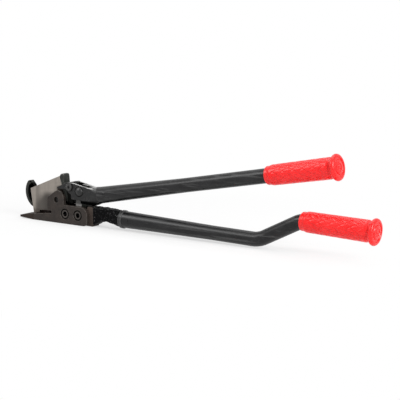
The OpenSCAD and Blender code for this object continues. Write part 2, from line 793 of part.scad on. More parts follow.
module gripper_pins() {
  color("black") gripper_pin_rods(gripper_pin_d, jaw_split - gripper_pin_in, jaw_half);
}

module jaw_bush() {
  color("peru") ring(jaw_pivot, bush_d, pin_d + 2 * run_fit, -jaw_half, jaw_half);
}

// The curved guard in front of the jaw, with a horn above the jaw's brow
module front_guard() {
  centre = circle_centre(guard_low, guard_out, guard_top);
  color("darkslategray") difference() {
    slab(guard_near, guard_far) intersection() {
      translate(centre) circle(norm(guard_out - centre), $fn = 96);
      polygon([
        guard_foot, brow_front, horn_back, guard_top + [horn_flat, 0], guard_top,
        [-2 * guard_reach, guard_top.y], [-2 * guard_reach, guard_low.y]
      ]);
    }
    on_jaw_front() translate([-guard_recess_w, guard_near - cut, -guard_down])
      cube([horn_reach, guard_recess_deep + cut, guard_reach]);
    for (up = guard_screw_up) guard_screw_place(up) {
      guard_screw_bore();
      translate([0, 0, -2 * guard_reach]) cylinder(d = 2 * guard_screw_d, h = 2 * guard_reach - guard_seat);
    }
  }
}

// A guard screw's axis, running back from the guard's flat face
module guard_screw_place(up) {
  on_jaw_front() translate([0, (guard_near + guard_far) / 2, up]) rotate([0, 90, 0]) children();
}

module guard_screw_bore() {
  translate([0, 0, -guard_seat - cut])
    cylinder(d = guard_screw_d + 2 * seat_fit, h = guard_seat + cut + guard_screw_in + seat_fit);
}

module guard_screws() {
  color("black") for (up = guard_screw_up)
    guard_screw_place(up) difference() {
      union() {
        translate([0, 0, -guard_seat]) cylinder(d = guard_screw_d, h = guard_seat + guard_screw_in);
        translate([0, 0, -guard_seat - guard_head_h]) cylinder(d = 1.8 * guard_screw_d, h = guard_head_h);
      }
      translate([0, 0, -guard_seat - guard_head_h - cut])
        cylinder(d = guard_screw_d * 0.8, h = guard_head_h / 2 + cut, $fn = 6);
    }
}

// The ground link between the foot and the fork
module link() {
  lean = atan2(link_lean, link_rise);
  eye_clear = 1;
  foot_eye_d = min(link_w, 2 * (side_screw_z - sole_t - eye_clear));
  link_waist = link_w - 2;
  head_eye_d = link_bush_d + 3.5;
  link_len = norm([link_lean, link_rise]);
  shoulder = 0.62 * link_len;
  color("lightgray") difference() {
    slab(-link_half, link_half) union() {
      translate(link_foot) circle(d = foot_eye_d);
      translate(link_head) circle(d = head_eye_d);
      translate(link_foot) rotate(-lean) polygon([
        [-link_waist / 2, 0], [link_waist / 2, 0], [link_waist / 2, shoulder],
        [head_eye_d / 2 - 1, link_len], [1 - head_eye_d / 2, link_len], [-link_waist / 2, shoulder]
      ]);
    }
    for (at = [link_foot, link_head])
      rod(at, link_bush_d + 2 * seat_fit, -head_half, head_half);
  }
}

module link_bushes() {
  color("peru") for (at = [link_foot, link_head])
    ring(at, link_bush_d, pin_d + 2 * run_fit, -link_half, link_half);
}

// The upper lever's fork, with two toed cheeks and a spigot for the tube
module fork() {
  collar_t = 2;
  color("dimgray") difference() {
    union() {
      for (side = [0, 1]) mirror([0, side, 0]) {
        slab(gap_half, fork_half) polygon(rounded(cheek_outline));
        slab(slot_half, gap_half) union() {
          polygon(rounded(pad_outline));
          polygon(rounded(heel_outline));
        }
      }
      slab(-slot_half, slot_half) union() {
        polygon(web_outline);
        intersection() {
          polygon(rounded(heel_outline));
          translate(web_front) square([upper_collar_x, fork_top]);
        }
      }
      hull() {
        translate([cheek_back, -fork_half, fork_floor])
          cube([0.1, 2 * fork_half, fork_top - fork_floor]);
        along(upper_collar, upper_tilt) bar_x(-collar_t, 0, flare_d, flare_d, $fn = 32);
      }
      along(upper_collar, upper_tilt)
        bar_x(-cut, spigot_len, 2 * (flare_bore - seat_fit), 2 * (spigot_tip - seat_fit));
    }
    for (at = [tail_pin_at, link_head])
      rod(at, pin_d + 2 * seat_fit, -fork_half - cut, fork_half + cut);
    along(upper_collar, upper_tilt)
      rod([cross_pin_at, 0], cross_pin_d + 2 * seat_fit, -flare_r, flare_r);
  }
}

// A pin through the fork with a clip groove near its far end
module grooved_pin(at) {
  groove = fork_half + side_gap;
  difference() {
    rod(at, pin_d, -fork_half - cut, groove + clip_t + pin_tail);
    ring(at, pin_d + cut, clip_bore, groove, groove + clip_t + 2 * seat_fit);
  }
}

module tail_pin() {
  color("gray") difference() {
    union() {
      grooved_pin(tail_pin_at);
      rod(tail_pin_at, pin_head_d, -fork_half - pin_head_t, -fork_half);
    }
    rod(tail_pin_at, pin_r, -fork_half - pin_head_t - cut, -fork_half);
  }
}

module link_pin() {
  dome_r = (dome_d * dome_d / 4 + dome_h * dome_h) / (2 * dome_h);
  color("dimgray") union() {
    grooved_pin(link_head);
    intersection() {
      translate([link_head.x, dome_r - fork_half - dome_h, link_head.y]) sphere(dome_r);
      rod(link_head, dome_d, -fork_half - dome_h - cut, -fork_half);
    }
  }
}

// The open clips in the grooves of both fork pins
module pin_clips() {
  y0 = fork_half + side_gap + seat_fit;
  mouth = 0.6 * pin_d;
  color("silver") for (at = [tail_pin_at, link_head])
    difference() {
      ring(at, clip_d, clip_bore + 2 * seat_fit, y0, y0 + clip_t);
      translate([at.x - mouth / 2, y0 - cut, at.y - clip_d]) cube([mouth, clip_t + 2 * cut, clip_d]);
    }
}

module upper_tube() {
  end = upper_len - grip_end;
  color("black") along(upper_collar, upper_tilt) difference() {
    union() {
      bar_x(0, flare_len, flare_d, tube_d);
      bar_x(flare_len - cut, end, tube_d, tube_d);
    }
    bar_x(-cut / 100, flare_len, 2 * flare_bore, 2 * tube_bore);
    bar_x(flare_len - cut, end + cut, 2 * tube_bore, 2 * tube_bore);
    rod([cross_pin_at, 0], cross_pin_d + 2 * seat_fit, -flare_d, flare_d);
  }
}

module upper_cross_pin() {
  color("black") along(upper_collar, upper_tilt) cross_pin();
}

module upper_grip() {
  color("crimson") along(upper_collar, upper_tilt) translate([upper_len - grip_len, 0, 0]) grip();
}

foot();
near_side_plate();
far_side_plate();
anvil_bar();
anvil_screws();
side_screws();
side_nuts();
jaw_pivot_pin();
link_washers();
lower_socket();
lower_collar();
lower_tube();
lower_cross_pin();
lower_grip();
jaw_body();
jaw_plate();
jaw_plate_screws();
gripper_bar();
gripper_pins();
jaw_bush();
front_guard();
guard_screws();
link();
link_bushes();
fork();
tail_pin();
link_pin();
pin_clips();
upper_tube();
upper_cross_pin();
upper_grip();
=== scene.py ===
"""Looks of a long-handled strapping tool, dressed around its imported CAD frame."""

import json
import math

import bmesh
import bpy
from bpy.props import FloatProperty, FloatVectorProperty, IntProperty, PointerProperty
from mathutils import Matrix, Vector, noise


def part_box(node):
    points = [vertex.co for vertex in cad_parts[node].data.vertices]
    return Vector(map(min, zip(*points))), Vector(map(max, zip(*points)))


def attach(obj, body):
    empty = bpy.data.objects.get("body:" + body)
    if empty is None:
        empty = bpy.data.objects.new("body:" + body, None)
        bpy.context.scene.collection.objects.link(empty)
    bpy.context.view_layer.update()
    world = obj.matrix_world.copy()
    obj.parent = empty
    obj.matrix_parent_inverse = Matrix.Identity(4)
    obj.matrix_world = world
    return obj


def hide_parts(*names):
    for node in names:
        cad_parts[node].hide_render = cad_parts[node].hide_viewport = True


bl_info = {
    "name": "Strapping Tool",
    "version": (1, 0, 0),
    "blender": (4, 5, 0),
    "location": "View3D > Sidebar > Strapping Tool",
    "description": "Dresses the packed frame of a long-handled strapping tool",
    "category": "Object",
}

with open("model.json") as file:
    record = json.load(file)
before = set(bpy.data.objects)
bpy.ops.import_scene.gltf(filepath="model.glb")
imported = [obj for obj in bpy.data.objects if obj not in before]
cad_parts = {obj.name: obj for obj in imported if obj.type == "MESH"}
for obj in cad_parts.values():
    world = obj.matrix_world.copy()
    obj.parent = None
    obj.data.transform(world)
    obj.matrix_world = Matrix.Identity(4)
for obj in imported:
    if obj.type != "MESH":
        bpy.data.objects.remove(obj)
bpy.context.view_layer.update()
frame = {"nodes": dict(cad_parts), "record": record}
MM = 0.001
# Black used only to paint shade: screw seats and sockets, slots, and spots under or inside parts.
SHADE_BLACK = (0.0, 0.0, 0.0)
# Grey for the painted highlight on the fork's cheek tops, drawn as bare metal.
BARE_HIGHLIGHT_GREY = (0.50, 0.50, 0.49)
SHARP_EDGE = math.radians(28)
SHADE_EDGE = math.radians(40)
FLAT_JOIN = math.radians(0.5)
SAME_POINT = 0.002 * MM
FINE_PASSES = 6
GRIP_CUTS = 100
GRIP_SIDES = 160
SENSOR_WIDTH = 36.0
LIT_POINT = (0.25, 0.0, 0.05)
FLOOR_MIDDLE = (0.25, 0.0, -0.3 * MM)
SHADOW_MIDDLE = (0.12, 0.0, 0.0)
BODY_OF = {n: body for body, nodes in frame["record"]["behaviour"]["bodies"].items() for n in nodes}


def colour(name, text, default):
    """A colour that a user can change."""
    return FloatVectorProperty(
        name=name, description=text, subtype="COLOR", size=3, min=0.0, max=1.0, default=default
    )


def length(name, text, default):
    """A length in metres that a user can change."""
    return FloatProperty(name=name, description=text, unit="LENGTH", min=0.0, default=default)


def turn(name, text, degrees):
    """An angle that a user can change."""
    return FloatProperty(name=name, description=text, unit="ROTATION", default=math.radians(degrees))


def share(name, text, default):
    """A share from 0 to 1 that a user can change."""
    return FloatProperty(name=name, description=text, subtype="FACTOR", min=0.0, max=1.0, default=default)


def position(name, text, default):
    """A place in metres that a user can change."""
    return FloatVectorProperty(name=name, description=text, subtype="TRANSLATION", size=3, default=default)


def watts(name, text, default):
    """A light's power that a user can change."""
    return FloatProperty(name=name, description=text, unit="POWER", min=0.0, default=default)


class HeadLook(bpy.types.PropertyGroup):
    """Sizes and colours of the head: foot, side plates, jaw, link, fork and fasteners."""

    plate_colour: colour("Plates", "Dark oxidised steel of the foot and side plates", (0.023, 0.0178, 0.0152))
    # The plate stain also paints shade along the jaw plate's lip by the strap bed.
    plate_stain_and_shade: colour("Plate stain", "Browner patches of the oxidised steel", (0.035, 0.0265, 0.022))
    # The worn colour also paints the highlight ring on the side screws' heads.
    worn_and_highlight_colour: colour("Worn edges", "Bare steel where edges have rubbed", (0.23, 0.21, 0.19))
    ground_colour: colour("Ground steel", "Bright faces left by the grinder", (0.30, 0.27, 0.24))
    # The ground stain also paints shade low on the jaw plate and beside the side plate's ear.
    ground_stain_and_shade: colour("Ground stain", "Browned ground steel near the strap bed", (0.105, 0.094, 0.085))
    link_colour: colour("Link", "Bright steel of the link", (0.42, 0.41, 0.40))
    forging_colour: colour("Forging", "Dark forged steel of the jaw and its guard", (0.013, 0.0145, 0.012))
    casting_colour: colour("Casting", "Charcoal casting of the fork", (0.008, 0.008, 0.0084))
    bite_colour: colour("Toothed bars", "Hardened bars with a reddish brown temper", (0.030, 0.014, 0.012))
    pin_colour: colour("Pins", "Dulled steel of pins, clips and washers", (0.075, 0.074, 0.072))
    black_colour: colour("Fasteners", "Black oxide of the screws and nuts", (0.020, 0.018, 0.017))
    bronze_colour: colour("Bushes", "Bronze of the bushes", (0.46, 0.29, 0.12))
    guard_middle: position(
        "Guard middle", "Middle of the arc along the guard's front", (-49.3 * MM, 0.0, 47.1 * MM)
    )
    guard_radius: length("Guard radius", "Of the arc along the guard's front", 29.7 * MM)
    guard_rim: length("Guard rim", "Width of the guard's bare rim in front of its oily part", 6.0 * MM)
    plate_edge: length("Plate edge", "Softened edge of the side plates", 0.9 * MM)
    foot_edge: length("Foot edge", "Softened edge of the foot", 0.35 * MM)
    jaw_edge: length("Jaw edge", "Softened edge of the jaw's forgings", 1.0 * MM)
    lug_edge: length("Lug edge", "Rounding of the crown of the jaw's rear lug", 2.6 * MM)
    lug_crown: length("Lug crown", "How far down from its top the rear lug is rounded", 8 * MM)
    ground_edge: length("Ground edge", "Softened edge of the jaw plate and the link", 0.35 * MM)
    tooth_edge: length("Tooth edge", "Softened edge of the toothed bars", 0.12 * MM)
    fork_edge: length("Fork edge", "Softened edge of the fork casting", 0.6 * MM)
    bare_highlight_from: length("Bare from", "Where the bare tops of the fork's cheeks start", 33 * MM)
    bare_highlight_to: length("Bare to", "Where the bare tops of the fork's cheeks end", 72 * MM)
    fastener_edge: length("Fastener edge", "Softened edge of screws, nuts and pins", 0.3 * MM)


class LeverLook(bpy.types.PropertyGroup):
    """Sizes and colours of the two levers and their grips."""

    paint_colour: colour("Tube paint", "Black satin paint of both tubes", (0.0055, 0.0055, 0.0058))
    chip_colour: colour("Paint chips", "Grey primer where the paint is scuffed", (0.10, 0.10, 0.10))
    socket_colour: colour("Socket paint", "Black paint of the rough lower casting", (0.0025, 0.0025, 0.0027))
    collar_colour: colour("Collar", "Rubbed steel of the collar ring", (0.028, 0.028, 0.028))
    grip_colour: colour("Grips", "Red of the moulded grips", (0.87, 0.010, 0.010))
    grip_tint: colour("Grip patches", "Paler red in patches of the grips", (0.92, 0.018, 0.018))
    # The groove colour is painted shade in the grips' grooves.
    grip_shade: colour("Grip grooves", "Deeper red in the grooves of the grips", (0.66, 0.006, 0.007))
    casting_edge: length("Socket edge", "Softened edge of the lower casting", 1.6 * MM)
    casting_mesh: length("Casting mesh", "Longest edge in the lower casting's fine mesh", 1.6 * MM)
    casting_lump: length("Casting lump", "Height of the lower casting's lumps", 0.5 * MM)
    lump_size: length("Lump size", "Width of the lower casting's lumps", 4.5 * MM)
    lump_fade: length("Lump fade", "Over which the lumps fade out at the casting's ends", 6 * MM)
    weld_height: length("Weld height", "Height of the bead round the lower casting", 1.3 * MM)
    weld_width: length("Weld width", "Half the width of the bead round the lower casting", 3.2 * MM)
    weld_wander: length("Weld wander", "How far the bead wanders along the lower casting", 2.5 * MM)
    weld_x: length("Weld X", "Place of the bead round the lower casting", 95 * MM)
    collar_edge: length("Collar edge", "Softened edge of the collar ring", 1.6 * MM)
    tube_edge: length("Tube edge", "Softened edge of the tube ends", 0.3 * MM)
    grip_length: length("Grip length", "From the nose to the end face", 122 * MM)
    grip_radius: length("Grip radius", "Of the patterned body, at its end", 16.5 * MM)
    bore_radius: length("Grip bore", "Radius of the hole for the tube", 11.53 * MM)
    bore_depth: length("Bore depth", "How far the tube goes into the grip", 118 * MM)
    flange_radius: length("Flange radius", "Of the guard ring at the grip's end", 20 * MM)
    flange_width: length("Flange width", "Of the guard ring at the grip's end", 9 * MM)
    rim_round: length("Rim rounding", "Radius of the guard ring's round rim", 4.1 * MM)
    ring_depth: length("Ring depth", "Of the outer ring groove in the grip's end face", 1.5 * MM)
    ring_inset: length("Ring inset", "From the guard ring's rim to the ring groove", 5 * MM)
    ring_width: length("Ring width", "Of the outer ring groove", 5 * MM)
    button_radius: length("Button radius", "Outer radius of the inner ring groove", 6 * MM)
    button_width: length("Button width", "Of the inner ring groove", 4 * MM)
    button_depth: length("Button depth", "Of the inner ring groove", 0.9 * MM)
    nose_round: length("Nose rounding", "Radius of the grip's round front edge", 2.3 * MM)
    nose_length: length("Nose length", "Of the smooth nose in front of the body's rise", 5.06 * MM)
    nose_step: length("Nose step", "How far the grip's nose lies under its body", 2.0 * MM)
    body_start: length("Body start", "Where the diamonds start behind the nose", 11 * MM)
    body_taper: length("Body taper", "How much slimmer the body is at its front", 0.7 * MM)
    neck_length: length("Neck length", "Of the smooth neck in front of the guard ring", 7 * MM)
    neck_depth: length("Neck depth", "How far the neck dips under the body", 1.8 * MM)
    neck_flat: length("Neck flat", "Of the neck's level stretch beside the guard ring", 1.5 * MM)
    diamond_length: length("Diamond length", "Of the raised diamonds along the grip", 17 * MM)
    diamond_rows: IntProperty(name="Diamond rows", description="Diamonds round the grip", min=3, default=10)
    groove_depth: length("Groove depth", "Of the grooves between the diamonds", 0.6 * MM)
    groove_width: share("Groove width", "Half a groove's width as a share of a diamond", 0.15)
    groove_fade: length("Groove fade", "Over which the grooves fade out at the body's ends", 6 * MM)
    upper_collar_x: length("Upper collar X", "Where the upper tube starts", 87 * MM)
    upper_collar_z: length("Upper collar Z", "Height at which the upper tube starts", 53.8 * MM)
    upper_tilt: turn("Upper tilt", "Rise of the upper lever", 10.5)
    upper_length: length("Upper length", "From the collar to the grip's end face", 447 * MM)
    lower_nose_x: length("Lower grip X", "Where the lower grip starts", 466.9 * MM)
    lower_nose_z: length("Lower grip Z", "Height at which the lower grip starts", 49.98 * MM)
    lower_droop: turn("Lower droop", "Fall of the lower grip toward its end", 1.7)


class StageLook(bpy.types.PropertyGroup):
    """Camera, lights and floor."""

    azimuth: turn("Azimuth", "Direction of the camera round the tool", 33.72)
    elevation: turn("Elevation", "Height of the camera over the horizon", 9.18)
    roll: turn("Roll", "Turn of the camera about its own axis", 0.38)
    camera_place: position("Camera place", "Position of the camera", (1.22103, -1.40298, 0.33691))
    lens: FloatProperty(name="Lens", description="Focal length", unit="CAMERA", default=98.06)
    floor_colour: colour("Floor", "Pale floor under the tool", (0.86, 0.86, 0.86))
    floor_reach: length("Floor reach", "How far the floor goes each way", 14.0)
    floor_white: share("Floor white", "Share of plain white in the floor near the tool", 0.6)
    shadow_core: length("Shadow core", "Distance within which the floor keeps its shadow", 0.1375)
    shadow_reach: length("Shadow reach", "Distance at which the floor has turned plain white", 0.55)
    room_light: share("Room light", "Light from all round", 0.28)
    key_power: watts("Key", "Power of the large light above", 12)
    key_place: position("Key place", "Position of the large light above", (0.15, 0.25, 1.5))
    key_size: length("Key size", "Width of the large light above", 1.3)
    front_power: watts("Front", "Power of the light in front", 12)
    front_place: position("Front place", "Position of the light in front", (-0.85, -1.06, 1.33))
    front_size: length("Front size", "Width of the light in front", 0.7)
    side_power: watts("Side", "Power of the light at the right", 25)
    side_place: position("Side place", "Position of the light at the right", (1.8, -0.5, 0.9))
    side_size: length("Side size", "Width of the light at the right", 0.8)


class Wire:
    """A shader socket in a Python expression, which adds a Math node for each operator."""

    def __init__(self, nodes, socket):
        self.nodes = nodes
        self.socket = socket

    def maths(self, operation, first, second):
        """A Math node of two values."""
        return self.nodes.node("ShaderNodeMath", {"operation": operation}, {0: first, 1: second})

    def __add__(self, other):
        return self.maths("ADD", self, other)

    def __radd__(self, other):
        return self.maths("ADD", other, self)

    def __sub__(self, other):
        return self.maths("SUBTRACT", self, other)

    def __rsub__(self, other):
        return self.maths("SUBTRACT", other, self)

    def __mul__(self, other):
        return self.maths("MULTIPLY", self, other)

    def __rmul__(self, other):
        return self.maths("MULTIPLY", other, self)


class Nodes:
    """A node tree, with one way to add a node to it."""

    def __init__(self, tree):
        self.tree = tree

    def node(self, kind, settings=None, sockets=None, output=0):
        """Adds a node, sets it up, then fills or links its sockets, and gives one of its outputs."""
        made = self.tree.nodes.new(kind)
        for name, value in (settings or {}).items():
            setattr(made, name, value)
        for name, value in (sockets or {}).items():
            self.plug(made.inputs[name], value)
        return Wire(self, made.outputs[output])

    def plug(self, socket, value):
        """Links a socket, or sets its value."""
        if isinstance(value, Wire):
            self.tree.links.new(value.socket, socket)
        else:
            socket.default_value = value

    def most(self, first, second):
        """The larger of two values."""
        return self.node("ShaderNodeMath", {"operation": "MAXIMUM"}, {0: first, 1: second})

    def white_rays(self):
        """1 for rays to the camera, straight or by way of a mirror or glass, and 0 for the rest."""
        straight = self.node("ShaderNodeLightPath", output="Is Camera Ray")
        mirrored = self.node("ShaderNodeLightPath", output="Is Glossy Ray")
        through = self.node("ShaderNodeLightPath", output="Is Transmission Ray")
        return self.most(straight, self.most(mirrored, through))


class Finish(Nodes):
    """A material and the nodes that feed its shader."""

    def __init__(self, name, constants=None):
        self.material = bpy.data.materials.new(name)
        self.material.use_nodes = True
        super().__init__(self.material.node_tree)
        self.shader = self.tree.nodes["Principled BSDF"]
        self.place = self.node("ShaderNodeTexCoord", output="Object")
        for socket, value in (constants or {}).items():
            self.feed(socket, value)

    def feed(self, socket, value):
        """Links or sets one of the shader's sockets."""
        self.plug(self.shader.inputs[socket], value)

    def noise(self, grain, detail=4.0, rough=0.55, squeeze=(1.0, 1.0, 1.0)):
        """Noise whose largest features measure about one grain, squeezed along the axes."""
        spread = self.node("ShaderNodeMapping", None, {"Vector": self.place, "Scale": squeeze})
        return self.node(
            "ShaderNodeTexNoise", None,
            {"Vector": spread, "Scale": 1.0 / grain, "Detail": detail, "Roughness": rough},
        )

    def between(self, value, low, high):
        """A smooth step from 0 at low to 1 at high."""
        return self.node(
            "ShaderNodeMapRange", {"interpolation_type": "SMOOTHSTEP"},
            {"Value": value, "From Min": low, "From Max": high},
        )

    def until(self, value, low, high):
        """A smooth step from 1 at low to 0 at high."""
        return 1.0 - self.between(value, low, high)

    def tint(self, factor, first, second):
        """A colour that goes from first to second."""
        return self.node(
            "ShaderNodeMix", {"data_type": "RGBA"}, {0: factor, 6: paint(first), 7: paint(second)}, output=2
        )

    def bumps(self, height, depth):
        """Raises the surface by the height, where 1 is the depth."""
        bump = self.node("ShaderNodeBump", None, {"Height": height, "Distance": depth, "Strength": 1.0})
        self.feed("Normal", bump)

    def worn(self, grain, low, high):
        """A patchy mask along the softened edges."""
        rim = self.node("ShaderNodeAttribute", {"attribute_name": "rim"}, output="Fac")
        return rim * self.between(self.noise(grain, 5.0, 0.6), low, high)

    def along(self, axis):
        """Distance from the origin along an axis."""
        return self.node("ShaderNodeSeparateXYZ", None, {"Vector": self.place}, axis)

    def off_axis(self, point):
        """Distance from an axis that crosses the tool at a point."""
        no_depth = (1.0, 0.0, 1.0)
        flat = self.node("ShaderNodeVectorMath", {"operation": "MULTIPLY"}, {0: self.place, 1: no_depth})
        return self.node("ShaderNodeVectorMath", {"operation": "DISTANCE"}, {0: flat, 1: point}, "Value")

    def off_screws(self):
        """Distance outward from the rim of the nearer side screw's head."""
        low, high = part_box("side_screws")
        radius = 0.5 * (high.z - low.z)
        front = self.off_axis((low.x + radius, 0.0, low.z + radius))
        rear = self.off_axis((high.x - radius, 0.0, low.z + radius))
        return self.node("ShaderNodeMath", {"operation": "MINIMUM"}, {0: front, 1: rear}) - radius


def paint(value):
    """A socket's colour with its alpha, or a link as it is."""
    return value if isinstance(value, Wire) else (*value, 1.0)


def scaled(base_colour, by):
    """A colour made darker or lighter."""
    return tuple(min(1.0, by * c) for c in base_colour)


def oxide_finish(look, name, *, gloss, rough, wear, front=1.0, back=1.0):
    """Dark oxidised steel with brown patches, scratches and rubbed edges, painted shade round the side
    screws' seats, and painted light scaled from front to back.
    """
    shade_run = (-50 * MM, 60 * MM)
    under_head = (-0.5 * MM, 0.0)
    shade_end = (0.9 * MM, 2.2 * MM)
    f = Finish(name, {"Metallic": 0.10, "Specular IOR Level": gloss})
    patches = f.between(f.noise(14 * MM, 6.0, 0.62), 0.36, 0.66)
    scratches = f.between(f.noise(5 * MM, 3.0, 0.6, (1.0, 1.0, 14.0)), 0.60, 0.72)
    grit = f.noise(1.1 * MM, 3.0)
    rubbed = f.worn(5 * MM, 0.36, 0.62)
    # Painted light: the colour is scaled by the front factor ahead and the back factor behind, mixed along X
    # over the shade run.
    ahead = f.tint(patches, scaled(look.plate_colour, front), scaled(look.plate_stain_and_shade, front))
    behind = f.tint(patches, scaled(look.plate_colour, back), scaled(look.plate_stain_and_shade, back))
    base = f.tint(f.between(f.along("X"), *shade_run), ahead, behind)
    base = f.tint(scratches * 0.10, base, look.worn_and_highlight_colour)
    base = f.tint(rubbed * wear, base, look.worn_and_highlight_colour)
    # Painted shade: a black ring in the seat round each side screw's head.
    off = f.off_screws()
    seat_shade = f.between(off, *under_head) * f.until(off, *shade_end)
    f.feed("Base Color", f.tint(seat_shade * 0.85, base, SHADE_BLACK))
    f.feed("Roughness", rough + grit * 0.20 - rubbed * 0.18)
    f.bumps(grit * 0.6 + patches * 0.4 - scratches * 0.3, 0.12 * MM)
    return f.material


def ground_finish(look):
    """Bright steel with grinding lines and upright streaks, and painted shade: darker and browner low down,
    beside the side plate's ear and round the pivot.
    """
    drift = 8 * MM
    slope_drift = 14 * MM
    slope_line = (70 * MM, 96 * MM)
    low_top = (42 * MM, 55 * MM)
    lip_top = (13 * MM, 22 * MM)
    mark_start = (-54 * MM, -50 * MM)
    mark_end = (-46 * MM, -43 * MM)
    painted_shade_start = (-6 * MM, 0.0)
    painted_shade_top = (60 * MM, 65 * MM)
    brown_start = (-59 * MM, -46 * MM)
    dark_start = (-42 * MM, -24 * MM)
    f = Finish("ground_steel", {"Metallic": 0.85, "Specular IOR Level": 0.4})
    lines = f.noise(2.6 * MM, 5.0, 0.7, (0.10, 1.0, 3.2))
    cloud = f.noise(17 * MM, 4.0, 0.6) - 0.5
    reach = f.along("X") + cloud * drift
    height = f.along("Z") + cloud * drift
    slope = f.along("Z") - f.along("X") + cloud * slope_drift
    streaks = f.between(f.noise(5 * MM, 4.0, 0.6, (1.0, 1.0, 0.07)), 0.42, 0.66)
    # Painted shade: the low part lies below a sloping line and low on the plate, beside the side plate's ear
    # and towards the strap bed.
    low = f.until(slope, *slope_line) * f.until(height, *low_top)
    lip = f.until(height, *lip_top)
    mark = f.between(reach, *mark_start) * f.until(reach, *mark_end)
    # Painted shade: the plate's rear round the pivot, behind the side plate's ear.
    painted_shade = f.between(reach, *painted_shade_start) * f.until(height, *painted_shade_top)
    rubbed = f.worn(5 * MM, 0.30, 0.60) * (1.0 - painted_shade)
    # The next lines paint shade: browner low down at the front, darker beside the ear, darker along the lip
    # and dark round the pivot.
    base = f.tint(low * f.between(reach, *brown_start), look.ground_colour, look.ground_stain_and_shade)
    base = f.tint(low * f.between(reach, *dark_start) * 0.6, base, scaled(look.ground_stain_and_shade, 0.5))
    base = f.tint(mark * 0.35 + streaks * 0.15, base, look.ground_stain_and_shade)
    base = f.tint(lip * 0.65, base, scaled(look.plate_stain_and_shade, 1.8))
    base = f.tint(painted_shade, base, look.plate_colour)
    base = f.tint(f.between(lines, 0.50, 0.75) * 0.25, base, look.ground_stain_and_shade)
    f.feed("Base Color", f.tint(rubbed * 0.6, base, look.ground_colour))
    f.feed("Roughness", 0.38 + lines * 0.22 + low * 0.08)
    f.bumps(lines, 0.05 * MM)
    return f.material


def link_finish(look):
    """Bright steel of the link, with painted shade: grey above, where it runs into the fork, and black at its
    back, under the fork's heel.
    """
    upper_shade_start = (32 * MM, 37 * MM)
    painted_shade_start = (47.5 * MM, 50 * MM)
    f = Finish("bright_link_steel", {"Metallic": 0.6, "Specular IOR Level": 0.3})
    lines = f.noise(0.7 * MM, 3.0, 0.6, (1.0, 0.25, 1.0))
    # Painted shade: darker above, and the forging's dark colour behind, where the fork shades the link.
    above = f.between(f.along("Z"), *upper_shade_start)
    behind = f.between(f.along("X"), *painted_shade_start)
    base = f.tint(above, look.link_colour, scaled(look.link_colour, 0.2))
    f.feed("Base Color", f.tint(behind, base, look.forging_colour))
    f.feed("Roughness", 0.36 + lines * 0.18)
    f.bumps(lines, 0.05 * MM)
    return f.material


def forging_finish(look, name, shade_mask):
    """Dark forging with scale, dull and slightly green, and painted shade in black where its shade mask says.
    """
    f = Finish(name, {"Specular IOR Level": 0.32})
    scale = f.noise(6 * MM, 6.0, 0.65)
    grit = f.noise(0.9 * MM, 3.0)
    rubbed = f.worn(6 * MM, 0.36, 0.64)
    base = f.tint(f.between(scale, 0.40, 0.70), look.forging_colour, scaled(look.forging_colour, 2.0))
    base = f.tint(rubbed * 0.30, base, look.worn_and_highlight_colour)
    # Painted shade: black and fully metallic where the mask says.
    painted_shade = shade_mask(f)
    f.feed("Base Color", f.tint(painted_shade, base, SHADE_BLACK))
    f.feed("Metallic", 0.1 + painted_shade * 0.9)
    f.feed("Roughness", 0.46 + grit * 0.22 - rubbed * 0.12)
    f.bumps(scale * 0.7 + grit * 0.3, 0.30 * MM)
    return f.material


def tail_shade(f):
    """Painted shade on the jaw's tail, behind its lug, along a line that leans back."""
    lean = 0.16
    start = (26 * MM, 27.5 * MM)
    return f.between(f.along("X") + f.along("Z") * lean, *start) * 0.85


def guard_shade(f):
    """Painted shade on the guard, behind its bare rim."""
    head = looks()[0]
    rim = head.guard_radius - head.guard_rim
    fade = 0.8 * MM
    return f.until(f.off_axis(head.guard_middle), rim - fade, rim + fade)


def pin_shadow(f, node):
    """Painted shadow round the head of a pin."""
    low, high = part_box(node)
    middle = 0.5 * (low + high)
    radius = 0.5 * (high.x - low.x)
    shade_end = (0.2 * MM, 1.6 * MM)
    return f.until(f.off_axis((middle.x, 0.0, middle.z)) - radius, *shade_end)


def fork_shade(f):
    """Painted shade between the fork's cheeks, under its heel and round its pins."""
    slot_side = (8.7 * MM, 9.3 * MM)
    slot_end = (60 * MM, 64 * MM)
    heel_top = (40 * MM, 44 * MM)
    side = f.node("ShaderNodeMath", {"operation": "ABSOLUTE"}, {0: f.along("Y")})
    # Painted shade in the slot between the cheeks and under the heel, and painted shadow round the pins.
    inside = f.until(side, *slot_side) * f.until(f.along("X"), *slot_end)
    below = f.until(f.along("Z"), *heel_top)
    pins = f.most(pin_shadow(f, "tail_pin"), pin_shadow(f, "link_pin"))
    return f.most(f.most(inside * 0.55, below), pins * 0.75)


def fork_light_and_shade(f, base):
    """The fork's colour, with painted shade in black and a painted highlight, drawn as bare metal, on the
    marked tops of its cheeks.
    """
    painted_shade = fork_shade(f)
    # Painted highlight on the cheek tops, drawn as bare metal.
    bare = f.node("ShaderNodeAttribute", {"attribute_name": "bare"}, output="Fac")
    bare = bare * f.between(f.noise(9 * MM, 4.0, 0.6), 0.30, 0.52)
    f.feed("Metallic", painted_shade * (1.0 - bare))
    return f.tint(bare, f.tint(painted_shade, base, SHADE_BLACK), BARE_HIGHLIGHT_GREY)


